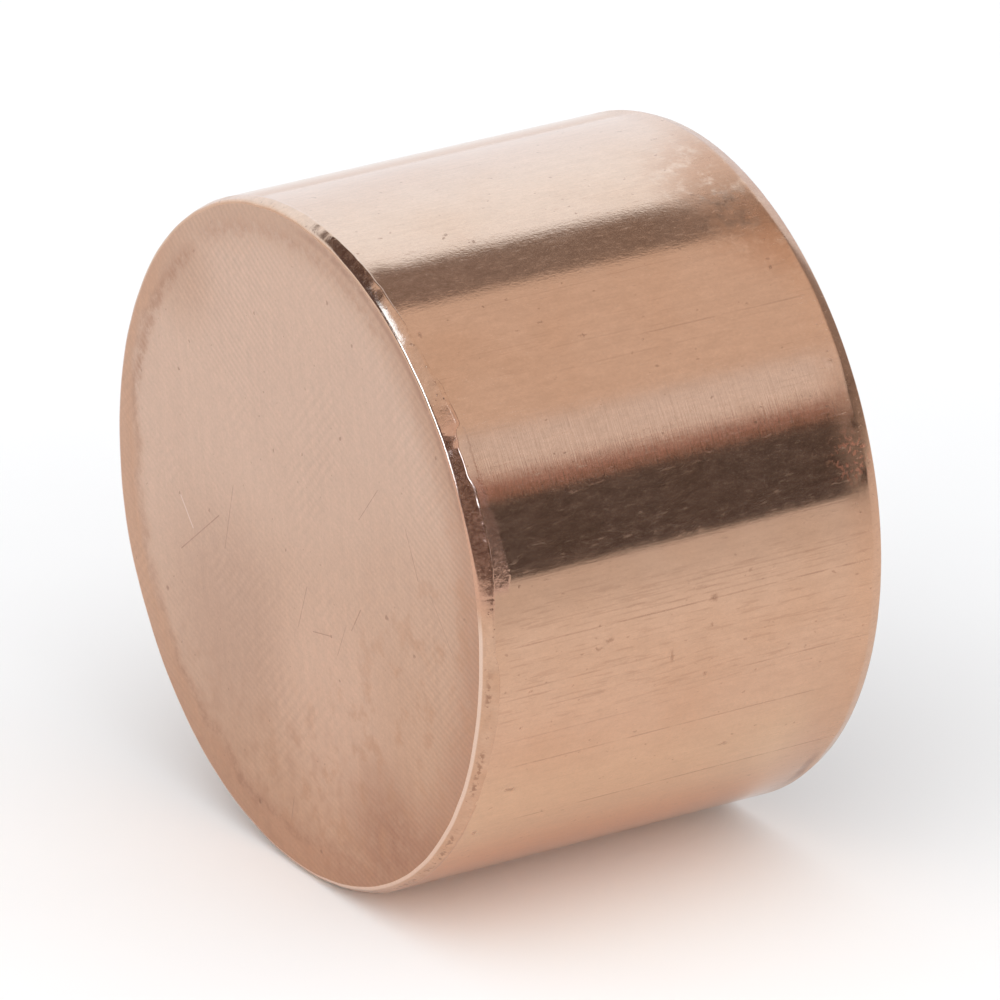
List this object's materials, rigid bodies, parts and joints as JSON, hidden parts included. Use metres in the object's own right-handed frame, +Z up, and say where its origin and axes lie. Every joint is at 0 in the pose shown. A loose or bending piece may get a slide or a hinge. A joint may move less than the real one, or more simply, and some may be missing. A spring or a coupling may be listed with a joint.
{
  "type": "pipe cap",
  "caption": "Copper pipe cap: a plain socket sleeve closed by a flat end plate, brazed round the corner, for a soldered tube end.",
  "frame": {"origin": "centre of the stop face inside the socket, where the tube's end comes to rest", "axes": "+Y along the socket's axis, from the stop face out of the mouth; +Z is up as the cap lies on its side"},
  "size_m": [0.0578, 0.0378, 0.0578],
  "materials": {
    "sleeve_copper": "drawn bare copper, bright with axial draw lines and faint turning marks",
    "plate_copper": "machined bare copper, satin with fine parallel grooves",
    "bead_copper": "dressed copper braze metal, bright with a ragged edge",
    "fillet_copper": "as-flowed copper braze metal, dull"
  },
  "bodies": {
    "root": {"socket_sleeve": "sleeve_copper", "end_plate": "plate_copper", "corner_bead": "bead_copper", "root_fillet": "fillet_copper"}
  },
  "joints": []
}
